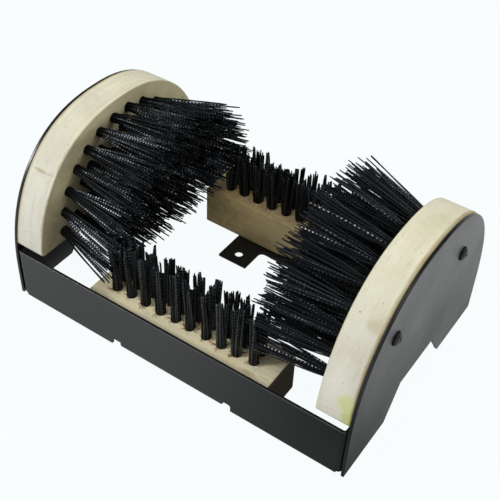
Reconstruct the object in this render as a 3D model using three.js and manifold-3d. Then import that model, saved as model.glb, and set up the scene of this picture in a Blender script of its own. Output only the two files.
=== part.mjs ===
// Boot scraper: a folded sheet steel frame with four wooden brush blocks.
// Millimetres, +Z up, origin on the floor under the middle of the frame.
// X runs along the rails, the front rail is at -Y.
import * as THREE from 'three';
import { mergeVertices } from 'three/addons/utils/BufferGeometryUtils.js';
import Module from 'manifold-3d';

const wasm = await Module();
wasm.setup();

// Frame
const frameLength = 300;         // over the outer faces of the end plates
const frameDepth = 200;          // over the outer faces of the rails
const sheet = 2.5;               // thickness of the steel sheet
const seatGap = 0.2;             // between pieces that are welded or screwed together
const screwClearance = 0.35;     // round a screw's shank

// End plates
const plateTop = 143;            // height of the crown
const plateSpring = 26;          // height at which the sides begin to curve in
const plateFullness = 2.33;      // 2 is an ellipse, more is squarer
const archwayBase = 86;          // gap between the feet at the floor
const archwayTop = 50;           // gap between the feet at its top
const archwayHeight = 27;

// Rails
const railHeight = 46;
const bendInside = 1.5;          // inside radius of every bend
const endFlangeDepth = 25;       // bent ends that are welded to the end plates
const endFlangeLift = 2;         // their lower edge above the rail's
const flangeWidth = 94;          // bottom flange, along the rail
const flangeMargin = 5;          // flange past the inner face of the bottom block
const reliefWidth = 8;           // notch at each end of the flange
const reliefHeight = 6;
const reliefRadius = 2;
const tabWidth = 27;
const tabLength = 23.5;          // past the flange
const tabFillet = 4;
const tabHole = 7;               // for a floor screw
const tabHoleInset = 10.5;       // from the tab's end

// Side brush blocks
const sideBlockThickness = 26;
const sideBlockLift = 5;         // the block's flat lower edge above the rails
const sideBlockProud = 1;        // above the plate at the crown
const sideBlockCorner = 3.5;     // corners of the lower edge
const sideBlockRound = 2;        // rounded edge next to the plate
const woodBevel = 0.8;           // softened ends of the bottom blocks
const sliceThickness = 4;        // layer of wood that the bristles are fixed in

// Bottom brush blocks
const bottomBlockLength = 162;
const bottomBlockWidth = 40;
const bottomBlockHeight = 36;

// Bristles
const strandRadius = 1.3;
const strandSides = 3;
const strandRoot = 1;            // how far a strand reaches into the wood
const tuftRadius = 2.5;          // of the ring that a tuft's strands stand on
const tuftSpread = 2.2;          // how much wider that ring is at the tips
const tipUnevenness = 3.5;
const tuftTwist = 8;             // a tuft is turned by up to this many degrees either way
const brushClearance = 2.5;      // between the side brushes and the bottom brushes

// The side tufts stand in arches inside each other, round a centre near the block's lower edge
const sideStrands = 3;           // in each tuft
const sideReach = 64;            // how far the bristles stand out from the block
const sideTuftLift = 7;          // centre of the arches above the block's lower edge
const sideTopInset = 13;         // outer arch below the block's crown
const sideEdgeInset = 24.9;      // outer arch inside the block's edge at the centre's height
const sideRowPitch = 14;         // from one arch to the next
const sideRows = [               // fan is how many degrees a row leans outwards
  { pitch: 17.1, firstAngle: 3, fan: 14 },
  { pitch: 13.8, firstAngle: 9.7, fan: 11 },
  { pitch: 13.4, firstAngle: 5, fan: 7 },
  { pitch: 13.7, firstAngle: 14, fan: 4 },
  { pitch: 16.2, firstAngle: 8, fan: 2 },
  { pitch: 16.2, firstAngle: 90, fan: 0 },
];

const bottomStrands = 4;
const bottomReach = 43;
const bottomPitch = 13.8;        // between tufts along a row
const bottomMargin = 18;         // about this much bare wood at the ends of a row
const bottomShift = -2;          // both brushes sit a little to the left of the middle
const bottomRows = [-3.5, 7.2];  // places across the block, from the rail inwards

// Screws
const sideScrewHeight = 99;
const sideScrewSpacing = 99;
const sideScrewShift = -3;       // the pair sits a little in front of the plate's middle
const sideScrewHead = 11;
const sideScrewHeadHeight = 3;
const sideScrewShank = 4.5;
const sideScrewLength = 20;
const bottomScrewSpacing = 60;
const bottomScrewHead = 8.4;
const bottomScrewShank = 4.2;
const bottomScrewLength = 28;
const recessWidth = 1.3;
const recessLength = 5.2;
const recessDepth = 1.6;
const screwTip = 5;              // length of the pointed end
const trussProfile = [           // half width and height of the domed head, as shares of its own
  [0, 1], [0.45, 0.93], [0.78, 0.68], [0.97, 0.28], [1, 0],
];

// Fineness of the curves
const screwSides = 16;
const tabHoleSides = 24;
const archSteps = 44;
const bendSteps = 5;
const reliefSteps = 4;
const cornerSteps = 4;
const roundSteps = 2;            // rounded edge of a side block

const cutMargin = 1;             // how far a cut reaches past the surface it opens
const unevenStep = 12.9898;      // the two numbers only scatter the bristle lengths
const unevenScale = 43758.5453;
const rowSeedStep = 100;         // tufts of one row differ from those of the next

// Worked out from the dimensions above
const halfLength = frameLength / 2;
const halfDepth = frameDepth / 2;
const bendOutside = bendInside + sheet;
const blockFace = halfLength - sheet - seatGap - sideBlockThickness;
const blockBack = halfLength - sheet - seatGap;
const sideBlockBottom = railHeight + sideBlockLift;
const sideBlockRise = plateTop + sideBlockProud - plateSpring;
const sideTuftCentre = sideBlockBottom + sideTuftLift;
const bottomBlockBase = sheet + seatGap;
const bottomBlockTop = bottomBlockBase + bottomBlockHeight;
const bottomBlockCentre = -halfDepth + bendOutside + bottomBlockWidth / 2;
const sideScrewPlaces = [sideScrewShift - sideScrewSpacing / 2, sideScrewShift + sideScrewSpacing / 2];
const bottomScrewPlaces = [-bottomScrewSpacing / 2, bottomScrewSpacing / 2];
const flangeDepth = bendOutside + bottomBlockWidth + flangeMargin;
const bottomTufts = 1 + Math.floor((bottomBlockLength - 2 * bottomMargin) / bottomPitch);
const tuftTip = tuftRadius + tuftSpread + strandRadius;
const bottomBrush = {
  top: bottomBlockTop + bottomReach + tipUnevenness,
  end: (bottomTufts - 1) / 2 * bottomPitch + Math.abs(bottomShift) + tuftTip,
  inside: -bottomBlockCentre - Math.max(...bottomRows) - tuftTip,
};

const material = (color, roughness, metalness = 0) =>
  new THREE.MeshStandardMaterial({ color, roughness, metalness });
const blackSteel = () => material(0x2e3032, 0.45, 0.2);
const paleWood = () => material(0xdccfa8, 0.7);
const blackBristle = () => material(0x121314, 0.4);
const blackScrew = () => material(0x1c1d1e, 0.35, 0.6);

// Joining and cutting

function toSolid(geometry) {
  let bare = geometry.clone();
  bare.deleteAttribute('normal');
  bare.deleteAttribute('uv');
  bare = mergeVertices(bare);
  return new wasm.Manifold(new wasm.Mesh({
    numProp: 3,
    vertProperties: new Float32Array(bare.attributes.position.array),
    triVerts: new Uint32Array(bare.index.array),
  }));
}

function toGeometry(solid) {
  const mesh = solid.getMesh();
  const geometry = new THREE.BufferGeometry();
  geometry.setAttribute('position', new THREE.BufferAttribute(new Float32Array(mesh.vertProperties), 3));
  geometry.setIndex(new THREE.BufferAttribute(new Uint32Array(mesh.triVerts), 1));
  geometry.computeVertexNormals();
  return geometry;
}

function boxSolid(x0, x1, y0, y1, z0, z1) {
  const box = new THREE.BoxGeometry(x1 - x0, y1 - y0, z1 - z0);
  box.translate((x0 + x1) / 2, (y0 + y1) / 2, (z0 + z1) / 2);
  return toSolid(box);
}

// A shape drawn in (y, z) becomes a solid from x0 to x1
function alongX(shape, x0, x1, options = {}) {
  const geometry = new THREE.ExtrudeGeometry(shape, { depth: x1 - x0, bevelEnabled: false, ...options });
  geometry.rotateX(Math.PI / 2);
  geometry.rotateZ(Math.PI / 2);
  geometry.translate(x0, 0, 0);
  return geometry;
}

// A profile of (radius, z) turned round the z axis
function turned(profile) {
  const lathe = new THREE.LatheGeometry(profile.map(([r, z]) => new THREE.Vector2(r, z)), screwSides);
  lathe.rotateX(Math.PI / 2);
  return toSolid(lathe);
}

// A round hole for a screw, from z0 to z1 along its own axis
function shankHole(shank, z0, z1) {
  const radius = shank / 2 + screwClearance;
  return turned([[0, z0], [radius, z0], [radius, z1], [0, z1]]);
}

// The arch of an end plate or a side block: half the width at a height above the spring line
function archHalfWidth(z, rise) {
  const share = Math.min(Math.max((z - plateSpring) / rise, 0), 1);
  return halfDepth * Math.pow(1 - Math.pow(share, plateFullness), 1 / plateFullness);
}

// Points from the right side at height z over the crown to the left side, as (y, z)
function archPoints(z, rise) {
  const first = Math.asin(Math.pow(Math.max(z - plateSpring, 0) / rise, plateFullness / 2));
  const points = [];
  for (let i = 0; i <= archSteps; i++) {
    const angle = first + (Math.PI - 2 * first) * i / archSteps;
    const across = Math.cos(angle);
    const y = halfDepth * Math.sign(across) * Math.pow(Math.abs(across), 2 / plateFullness);
    points.push(new THREE.Vector2(y, plateSpring + rise * Math.pow(Math.sin(angle), 2 / plateFullness)));
  }
  return points;
}

// End plates

function circleHole(y, z, radius, sides) {
  const hole = new THREE.Path();
  for (let i = 0; i < sides; i++) {
    const angle = -2 * Math.PI * i / sides;
    const point = [y + radius * Math.cos(angle), z + radius * Math.sin(angle)];
    if (i === 0) {
      hole.moveTo(...point);
    } else {
      hole.lineTo(...point);
    }
  }
  hole.closePath();
  return hole;
}

function endPlateShape() {
  const shape = new THREE.Shape();
  shape.moveTo(-halfDepth, 0);
  shape.lineTo(-archwayBase / 2, 0);
  shape.lineTo(-archwayTop / 2, archwayHeight);
  shape.lineTo(archwayTop / 2, archwayHeight);
  shape.lineTo(archwayBase / 2, 0);
  shape.lineTo(halfDepth, 0);
  for (const point of archPoints(plateSpring, plateTop - plateSpring)) {
    shape.lineTo(point.x, point.y);
  }
  for (const y of sideScrewPlaces) {
    shape.holes.push(circleHole(y, sideScrewHeight, sideScrewShank / 2 + screwClearance, screwSides));
  }
  return shape;
}

function endPlate(side) {
  const x0 = side < 0 ? -halfLength : halfLength - sheet;
  return toGeometry(toSolid(alongX(endPlateShape(), x0, x0 + sheet)));
}

// Rails: the front rail is modelled, the rear rail is the same piece turned round

function railWall() {
  const end = halfLength - sheet - seatGap;
  const outer = -halfDepth;
  const shape = new THREE.Shape();
  shape.moveTo(-end, outer + endFlangeDepth);
  shape.lineTo(-end, outer + bendOutside);
  shape.absarc(-end + bendOutside, outer + bendOutside, bendOutside, Math.PI, 1.5 * Math.PI, false);
  shape.lineTo(end - bendOutside, outer);
  shape.absarc(end - bendOutside, outer + bendOutside, bendOutside, -0.5 * Math.PI, 0, false);
  shape.lineTo(end, outer + endFlangeDepth);
  shape.lineTo(end - sheet, outer + endFlangeDepth);
  shape.lineTo(end - sheet, outer + bendOutside);
  shape.absarc(end - bendOutside, outer + bendOutside, bendInside, 0, -0.5 * Math.PI, true);
  shape.lineTo(-end + bendOutside, outer + sheet);
  shape.absarc(-end + bendOutside, outer + bendOutside, bendInside, 1.5 * Math.PI, Math.PI, true);
  shape.lineTo(-end + sheet, outer + endFlangeDepth);
  shape.closePath();
  const options = { depth: railHeight, bevelEnabled: false, curveSegments: bendSteps };
  return toSolid(new THREE.ExtrudeGeometry(shape, options));
}

function reliefCut() {
  const half = flangeWidth / 2 + reliefWidth;
  const shape = new THREE.Shape();
  shape.moveTo(-half, -cutMargin);
  shape.lineTo(half, -cutMargin);
  shape.lineTo(half, reliefHeight - reliefRadius);
  shape.absarc(half - reliefRadius, reliefHeight - reliefRadius, reliefRadius, 0, Math.PI / 2, false);
  shape.absarc(-half + reliefRadius, reliefHeight - reliefRadius, reliefRadius, Math.PI / 2, Math.PI, false);
  shape.closePath();
  const depth = sheet + 2 * cutMargin;
  const cut = new THREE.ExtrudeGeometry(shape, { depth, bevelEnabled: false, curveSegments: reliefSteps });
  cut.rotateX(Math.PI / 2);
  cut.translate(0, -halfDepth + sheet + cutMargin, 0);
  return toSolid(cut);
}

function railBend() {
  const outer = -halfDepth;
  const shape = new THREE.Shape();
  shape.moveTo(outer, reliefHeight + sheet);
  shape.lineTo(outer, bendOutside);
  shape.absarc(outer + bendOutside, bendOutside, bendOutside, Math.PI, 1.5 * Math.PI, false);
  shape.lineTo(outer + bendOutside + sheet, 0);
  shape.lineTo(outer + bendOutside + sheet, sheet);
  shape.lineTo(outer + bendOutside, sheet);
  shape.absarc(outer + bendOutside, bendOutside, bendInside, 1.5 * Math.PI, Math.PI, true);
  shape.lineTo(outer + sheet, reliefHeight + sheet);
  shape.closePath();
  return toSolid(alongX(shape, -flangeWidth / 2, flangeWidth / 2, { curveSegments: bendSteps }));
}

function railFlange() {
  const outer = -halfDepth;
  const half = flangeWidth / 2;
  const edge = outer + flangeDepth;
  const tip = edge + tabLength;
  const inner = half - tabWidth;
  const shape = new THREE.Shape();
  shape.moveTo(-half, outer + bendOutside);
  shape.lineTo(half, outer + bendOutside);
  shape.lineTo(half, tip);
  shape.lineTo(inner, tip);
  shape.lineTo(inner, edge + tabFillet);
  shape.absarc(inner - tabFillet, edge + tabFillet, tabFillet, 0, -0.5 * Math.PI, true);
  shape.absarc(-inner + tabFillet, edge + tabFillet, tabFillet, -0.5 * Math.PI, -Math.PI, true);
  shape.lineTo(-inner, tip);
  shape.lineTo(-half, tip);
  shape.closePath();
  for (const x of [-half + tabWidth / 2, half - tabWidth / 2]) {
    shape.holes.push(circleHole(x, tip - tabHoleInset, tabHole / 2, tabHoleSides));
  }
  const options = { depth: sheet, bevelEnabled: false, curveSegments: bendSteps };
  return toSolid(new THREE.ExtrudeGeometry(shape, options));
}

function countersink(x) {
  const radius = bottomScrewHead / 2 + screwClearance;
  const neck = bottomScrewShank / 2 + screwClearance;
  const top = sheet + cutMargin;
  const profile = [
    [0, -cutMargin], [radius, -cutMargin], [radius, 0], [neck, radius - neck], [neck, top], [0, top],
  ];
  return turned(profile).translate([x, bottomBlockCentre, 0]);
}

function rail(turn) {
  const bendStart = halfLength - sheet - seatGap - bendOutside;
  const y0 = -halfDepth - cutMargin;
  const y1 = -halfDepth + endFlangeDepth + cutMargin;
  let solid = railWall().subtract(reliefCut());
  solid = solid.subtract(boxSolid(-halfLength, -bendStart, y0, y1, -cutMargin, endFlangeLift));
  solid = solid.subtract(boxSolid(bendStart, halfLength, y0, y1, -cutMargin, endFlangeLift));
  solid = solid.add(railBend()).add(railFlange());
  for (const x of bottomScrewPlaces) {
    solid = solid.subtract(countersink(x));
  }
  return toGeometry(solid.rotate([0, 0, turn]));
}

// Wood

// Outline of a side block, moved inwards by inset
function sideBlockOutline(inset) {
  const cornerTop = sideBlockBottom + sideBlockCorner;
  const outline = archPoints(cornerTop, sideBlockRise);
  const cornerStart = outline[0].x - sideBlockCorner;
  const corner = (side, step) => {
    const angle = Math.PI / 2 * step / cornerSteps;
    const y = side * (cornerStart + sideBlockCorner * Math.cos(angle));
    return new THREE.Vector2(y, cornerTop - sideBlockCorner * Math.sin(angle));
  };
  for (let i = 1; i <= cornerSteps; i++) {
    outline.push(corner(-1, i));
  }
  for (let i = cornerSteps; i >= 1; i--) {
    outline.push(corner(1, i));
  }
  return outline.map((point, i) => {
    const along = outline[(i + 1) % outline.length].clone().sub(outline.at(i - 1)).normalize();
    return point.clone().add(new THREE.Vector2(-along.y, along.x).multiplyScalar(inset));
  });
}

// The whole right-hand block, with its rounded edge and with pilot holes that open at the plate
function sideBlock() {
  const corners = sideBlockOutline(0).map((point) => [blockFace, point.x, point.y]);
  for (let i = 0; i <= roundSteps; i++) {
    const angle = Math.PI / 2 * i / roundSteps;
    const x = blockBack - sideBlockRound * (1 - Math.sin(angle));
    const inset = sideBlockRound * (1 - Math.cos(angle));
    corners.push(...sideBlockOutline(inset).map((point) => [x, point.x, point.y]));
  }
  let solid = wasm.Manifold.hull(corners);
  for (const y of sideScrewPlaces) {
    const pilot = shankHole(sideScrewShank, blockBack + cutMargin - sideScrewLength, blockBack + cutMargin);
    solid = solid.subtract(pilot.rotate([0, 90, 0]).translate([0, y, sideScrewHeight]));
  }
  return solid;
}

// The whole front block, with pilot holes that open at the flange
function bottomBlock() {
  const half = bottomBlockLength / 2;
  const y0 = bottomBlockCentre - bottomBlockWidth / 2;
  const y1 = bottomBlockCentre + bottomBlockWidth / 2;
  const soft = woodBevel;
  let solid = wasm.Manifold.hull([
    boxSolid(-half, half, y0 + soft, y1 - soft, bottomBlockBase + soft, bottomBlockTop - soft),
    boxSolid(-half + soft, half - soft, y0, y1, bottomBlockBase, bottomBlockTop),
  ]);
  for (const x of bottomScrewPlaces) {
    const pilot = shankHole(bottomScrewShank, 0, bottomScrewLength);
    solid = solid.subtract(pilot.translate([x, bottomBlockCentre, 0]));
  }
  return solid;
}

// Bristles

// A repeatable number between -1 and 1
function uneven(n) {
  const scattered = Math.sin(n * unevenStep) * unevenScale;
  return 2 * (scattered - Math.floor(scattered)) - 1;
}

// One strand as a straight prism from base to tip
function strand(base, tip) {
  const direction = tip.clone().sub(base).normalize();
  const start = base.clone().addScaledVector(direction, -strandRoot);
  const length = start.distanceTo(tip);
  const prism = new THREE.CylinderGeometry(strandRadius, strandRadius, length, strandSides);
  prism.translate(0, length / 2, 0);
  prism.applyQuaternion(new THREE.Quaternion().setFromUnitVectors(new THREE.Vector3(0, 1, 0), direction));
  prism.translate(start.x, start.y, start.z);
  return toSolid(prism);
}

// A tuft's strands stand on a ring round its centre line and spread towards the tips.
// ringA and ringB are the ring's two directions.
function tuft(centre, direction, ringA, ringB, strands, seed, reach) {
  const solids = [];
  const twist = THREE.MathUtils.degToRad(tuftTwist * uneven(seed + 1));
  for (let i = 0; i < strands; i++) {
    const angle = 2 * Math.PI * (i + 0.5) / strands + twist;
    const out = ringA.clone().multiplyScalar(Math.cos(angle)).addScaledVector(ringB, Math.sin(angle));
    const base = centre.clone().addScaledVector(out, tuftRadius);
    const length = reach + tipUnevenness * uneven(seed * strands + i + 1);
    const tip = base.clone().addScaledVector(direction, length).addScaledVector(out, tuftSpread);
    solids.push(strand(base, tip));
  }
  return solids;
}

// The right-hand side brush, with each arch of tufts fanned outwards by its own angle.
// Tufts that would meet the bottom brush are shorter, so that they end beside it.
function sideBrush() {
  const solids = [];
  const freeReach = blockFace - bottomBrush.end - brushClearance - tipUnevenness;
  const up = plateTop + sideBlockProud - sideTuftCentre - sideTopInset;
  const out = archHalfWidth(sideTuftCentre, sideBlockRise) - sideEdgeInset;
  sideRows.forEach((row, r) => {
    const high = up - r * sideRowPitch;
    const wide = out - r * sideRowPitch;
    const sweep = Math.PI - 2 * THREE.MathUtils.degToRad(row.firstAngle);
    const steps = Math.round(sweep * (high + wide) / 2 / row.pitch);
    const fan = THREE.MathUtils.degToRad(row.fan);
    for (let i = 0; i <= steps; i++) {
      const angle = (Math.PI - sweep) / 2 + (steps > 0 ? sweep * i / steps : 0);
      const centre = new THREE.Vector3(
        blockFace, -wide * Math.cos(angle), sideTuftCentre + high * Math.sin(angle));
      const radial = new THREE.Vector3(0, -Math.cos(angle), Math.sin(angle));
      const around = new THREE.Vector3(0, Math.sin(angle), Math.cos(angle));
      const lean = radial.clone().multiplyScalar(Math.tan(fan));
      const tip = lean.clone().multiplyScalar(sideReach).add(centre);
      const lowest = Math.min(centre.z, tip.z) - tuftTip - brushClearance;
      const widest = Math.max(Math.abs(centre.y), Math.abs(tip.y)) + tuftTip + brushClearance;
      const meetsBottomBrush = lowest < bottomBrush.top && widest > bottomBrush.inside;
      const reach = (meetsBottomBrush ? Math.min(freeReach, sideReach) : sideReach) / Math.cos(fan);
      const direction = new THREE.Vector3(-1, 0, 0).add(lean).normalize();
      solids.push(...tuft(centre, direction, radial, around, sideStrands, rowSeedStep * r + i, reach));
    }
  });
  return solids;
}

// The front brush: straight rows of upright tufts, one behind the other
function frontBrush(shift) {
  const solids = [];
  const up = new THREE.Vector3(0, 0, 1);
  const alongRow = new THREE.Vector3(1, 0, 0);
  const acrossRow = new THREE.Vector3(0, 1, 0);
  bottomRows.forEach((offset, r) => {
    const seed = rowSeedStep * (sideRows.length + r);
    for (let i = 0; i < bottomTufts; i++) {
      const x = (i - (bottomTufts - 1) / 2) * bottomPitch + shift;
      const centre = new THREE.Vector3(x, bottomBlockCentre + offset, bottomBlockTop);
      solids.push(...tuft(centre, up, alongRow, acrossRow, bottomStrands, seed + i, bottomReach));
    }
  });
  return solids;
}

// Screws: both are drawn along +Z, with the underside of the head or the rail's lower face at zero

function crossRecess(z0, z1) {
  const half = recessLength / 2;
  const narrow = recessWidth / 2;
  return boxSolid(-half, half, -narrow, narrow, z0, z1).add(boxSolid(-narrow, narrow, -half, half, z0, z1));
}

function trussScrew() {
  const shank = sideScrewShank / 2;
  const head = trussProfile.map(([r, z]) => [r * sideScrewHead / 2, -z * sideScrewHeadHeight]);
  const body = [[shank, 0], [shank, sideScrewLength - screwTip], [0, sideScrewLength]];
  const recess = crossRecess(-sideScrewHeadHeight - cutMargin, recessDepth - sideScrewHeadHeight);
  return turned([...head, ...body]).subtract(recess);
}

function countersunkScrew() {
  const rim = bottomScrewHead / 2;
  const shank = bottomScrewShank / 2;
  const tip = bottomScrewLength - cutMargin;
  const profile = [
    [0, seatGap], [rim, seatGap], [shank, seatGap + rim - shank], [shank, tip - screwTip], [0, tip],
  ];
  return turned(profile).subtract(crossRecess(-cutMargin, recessDepth));
}

// Assembly

const bootScraper = new THREE.Group();

function place(parent, name, geometry, surface) {
  const mesh = new THREE.Mesh(geometry, surface);
  mesh.name = name;
  parent.add(mesh);
  return mesh;
}

place(bootScraper, 'left_end_plate', endPlate(-1), blackSteel());
place(bootScraper, 'right_end_plate', endPlate(1), blackSteel());
place(bootScraper, 'front_rail', rail(0), blackSteel());
place(bootScraper, 'rear_rail', rail(180), blackSteel());

// A side brush is drawn on the right and mirrored to the left, a bottom brush is drawn at the front
// and turned round for the rear
const sideSplit = blockFace + sliceThickness;
const sideCut = boxSolid(0, sideSplit, -frameDepth, frameDepth, 0, 2 * plateTop);
const sideRest = boxSolid(sideSplit + seatGap, frameLength, -frameDepth, frameDepth, 0, 2 * plateTop);
const bottomSplit = bottomBlockTop - sliceThickness;
const bottomCut = boxSolid(-frameLength, frameLength, -frameDepth, 0, bottomSplit, plateTop);
const bottomRest = boxSolid(-frameLength, frameLength, -frameDepth, 0, 0, bottomSplit - seatGap);

for (const [side, flip] of [['left', -1], ['right', 1]]) {
  const mirror = [flip, 1, 1];
  const block = sideBlock();
  const base = block.intersect(sideRest).scale(mirror);
  const brush = wasm.Manifold.union([block.intersect(sideCut), ...sideBrush()]).scale(mirror);
  place(bootScraper, `${side}_brush_block`, toGeometry(base), paleWood());
  place(bootScraper, `${side}_bristles`, toGeometry(brush), blackBristle());
}
for (const [side, turn, shift] of [['front', 0, bottomShift], ['rear', 180, -bottomShift]]) {
  const about = [0, 0, turn];
  const block = bottomBlock();
  const base = block.intersect(bottomRest).rotate(about);
  const brush = wasm.Manifold.union([block.intersect(bottomCut), ...frontBrush(shift)]).rotate(about);
  place(bootScraper, `${side}_brush_block`, toGeometry(base), paleWood());
  place(bootScraper, `${side}_bristles`, toGeometry(brush), blackBristle());
}

for (const [side, turn] of [['left', 1], ['right', -1]]) {
  for (const [end, y] of [['front', sideScrewPlaces[0]], ['rear', sideScrewPlaces[1]]]) {
    const geometry = toGeometry(trussScrew());
    const screw = place(bootScraper, `${side}_block_screw_${end}`, geometry, blackScrew());
    screw.rotation.y = turn * Math.PI / 2;
    screw.position.set(-turn * (halfLength + seatGap), y, sideScrewHeight);
  }
}
for (const [side, y] of [['front', bottomBlockCentre], ['rear', -bottomBlockCentre]]) {
  for (const [end, x] of [['left', bottomScrewPlaces[0]], ['right', bottomScrewPlaces[1]]]) {
    const geometry = toGeometry(countersunkScrew());
    const screw = place(bootScraper, `${side}_block_screw_${end}`, geometry, blackScrew());
    screw.position.set(x, y, 0);
  }
}

export default bootScraper;
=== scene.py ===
import math
import random

import bmesh
import bpy
from mathutils import Matrix, Vector


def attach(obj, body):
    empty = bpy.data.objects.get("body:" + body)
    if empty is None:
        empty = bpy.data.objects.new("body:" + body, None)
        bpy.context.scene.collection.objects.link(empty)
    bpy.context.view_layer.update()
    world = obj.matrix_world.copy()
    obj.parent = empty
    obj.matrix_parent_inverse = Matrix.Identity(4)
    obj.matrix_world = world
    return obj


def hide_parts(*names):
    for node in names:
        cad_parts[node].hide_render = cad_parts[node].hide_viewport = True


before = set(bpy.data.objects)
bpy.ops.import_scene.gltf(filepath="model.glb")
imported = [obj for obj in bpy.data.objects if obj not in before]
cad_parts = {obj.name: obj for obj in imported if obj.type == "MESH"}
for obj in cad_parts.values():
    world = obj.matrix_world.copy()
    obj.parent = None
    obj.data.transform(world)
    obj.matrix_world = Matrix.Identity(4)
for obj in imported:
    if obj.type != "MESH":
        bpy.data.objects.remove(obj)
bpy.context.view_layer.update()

scene = bpy.context.scene
mm = 0.001
print("frame loaded")


# Camera

view = {
    "place": (0.290507, -0.450144, 0.552247),
    "turn": (47.0256, -1.9826, 34.522),
    "lens": 68.505,
    "sensor": 36.0,
}
cameraData = bpy.data.cameras.new("photoCamera")
cameraData.lens = view["lens"]
cameraData.sensor_width = view["sensor"]
cameraData.clip_start = 0.01
camera = bpy.data.objects.new("photoCamera", cameraData)
camera.location = view["place"]
camera.rotation_euler = [math.radians(angle) for angle in view["turn"]]
scene.collection.objects.link(camera)
scene.camera = camera
scene.view_settings.view_transform = "Standard"


# Small helpers for node trees and meshes

def addNode(tree, kind, values=None, **settings):
    node = tree.nodes.new(kind)
    for key, value in settings.items():
        setattr(node, key, value)
    for socket, value in (values or {}).items():
        if isinstance(value, bpy.types.NodeSocket):
            tree.links.new(value, node.inputs[socket])
        else:
            node.inputs[socket].default_value = value
    return node


def fedNode(kind, values, **settings):
    # The same, in the tree of the sockets that feed the node
    tree = next(value.id_data for value in values.values() if isinstance(value, bpy.types.NodeSocket))
    return addNode(tree, kind, values, **settings)


def shade(kind, values, **settings):
    return fedNode("ShaderNode" + kind, values, **settings).outputs[0]


def geo(kind, values, **settings):
    return fedNode("GeometryNode" + kind, values, **settings).outputs[0]


def calc(operation, *values):
    return shade("Math", dict(enumerate(values)), operation=operation)


def linear(value, factor, offset):
    # The value times the factor plus the offset, all three values or sockets
    return calc("MULTIPLY_ADD", value, factor, offset)


def product(first, *others):
    for other in others:
        first = calc("MULTIPLY", first, other)
    return first


def vecCalc(operation, *vectors):
    node = fedNode("ShaderNodeVectorMath", dict(enumerate(vectors)), operation=operation)
    return node.outputs["Value" if operation in ("LENGTH", "DISTANCE") else "Vector"]


def vecScale(vector, factor):
    return shade("VectorMath", {0: vector, 3: factor}, operation="SCALE")


def axes(vector):
    return fedNode("ShaderNodeSeparateXYZ", {0: vector}).outputs


def joined(x=0.0, y=0.0, z=0.0):
    return shade("CombineXYZ", {0: x, 1: y, 2: z})


def remap(value, low, high, newLow=0.0, newHigh=1.0, smooth=False):
    kind = "SMOOTHSTEP" if smooth else "LINEAR"
    return shade("MapRange", {0: value, 1: low, 2: high, 3: newLow, 4: newHigh}, interpolation_type=kind)


def mixColor(factor, first, second):
    return fedNode("ShaderNodeMix", {0: factor, 6: first, 7: second}, data_type="RGBA").outputs[2]


def paint(color, over, *shares):
    # One colour over another, as strongly as the product of the shares
    return mixColor(product(*shares), color, over)


def mixValue(factor, first, second):
    return shade("Mix", {0: factor, 2: first, 3: second}, data_type="FLOAT")


def noise(vector, scale, detail=2.0, rough=0.5, distortion=0.0):
    return shade("TexNoise", {"Vector": vector, "Scale": scale, "Detail": detail, "Roughness": rough,
                              "Distortion": distortion})


def noiseVector(vector, scale, kind="3D", **more):
    values = {"Vector": vector, "Scale": scale, **more}
    color = fedNode("ShaderNodeTexNoise", values, noise_dimensions=kind).outputs["Color"]
    return vecCalc("SUBTRACT", color, (0.5, 0.5, 0.5))


def bump(height, distance):
    return shade("Bump", {"Height": height, "Distance": distance, "Strength": 1.0})


def clearedTree(owner):
    owner.use_nodes = True
    owner.node_tree.nodes.clear()
    return owner.node_tree


def startMaterial(name, specular):
    material = bpy.data.materials.new(name)
    tree = clearedTree(material)
    shader = addNode(tree, "ShaderNodeBsdfPrincipled", {"Specular IOR Level": specular})
    fedNode("ShaderNodeOutputMaterial", {0: shader.outputs[0]})
    return material, shader, addNode(tree, "ShaderNodeTexCoord").outputs["Object"]


def feed(shader, color, roughness, normal):
    for name, socket in (("Base Color", color), ("Roughness", roughness), ("Normal", normal)):
        shader.id_data.links.new(socket, shader.inputs[name])


def newPiece(name, mesh, material=None):
    piece = bpy.data.objects.new(name, mesh)
    scene.collection.objects.link(piece)
    if material:
        mesh.materials.clear()
        mesh.materials.append(material)
    return piece


def applied(piece):
    # The evaluated object's mesh becomes a plain mesh
    graph = bpy.context.evaluated_depsgraph_get()
    graph.update()
    return bpy.data.meshes.new_from_object(piece.evaluated_get(graph))


def smoothFaces(mesh, angle=30):
    mesh.polygons.foreach_set("use_smooth", [True] * len(mesh.polygons))
    mesh.set_sharp_from_angle(angle=math.radians(angle))


def finishPiece(piece, slot, *nodes):
    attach(piece, "root")
    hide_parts(*nodes)


# Light: a white backdrop, a dim surround under a dark ceiling, and three soft boxes

light = {
    "ambient": 0.37,
    "backdrop": 1.0,
    "backdropColor": (0.955, 0.99, 0.995, 1),
    "horizon": 0.80,
    "ceiling": 0.04,
    "darkens": (0.05, 0.55),  # heights of the surround between horizon and ceiling
    "boxes": [
        {"name": "frontLeft", "place": (-1.0, -0.98, 0.90), "size": 0.40, "power": 14.0,
         "tint": (0.95, 0.98, 1.0)},
        {"name": "overhead", "place": (0.10, -0.30, 1.70), "size": 1.2, "power": 6.5,
         "tint": (1.0, 0.98, 0.95)},
        {"name": "backRight", "place": (0.95, 0.55, 1.25), "size": 0.7, "power": 9.5,
         "tint": (1.0, 0.99, 0.97)},
    ],
    "aim": (0, 0, 0.06),
}


def raysOf(tree):
    # Which rays come from the camera, and which from gloss or glass
    path = addNode(tree, "ShaderNodeLightPath").outputs
    mirrored = calc("MAXIMUM", path["Is Glossy Ray"], path["Is Transmission Ray"])
    return path["Is Camera Ray"], mirrored


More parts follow.
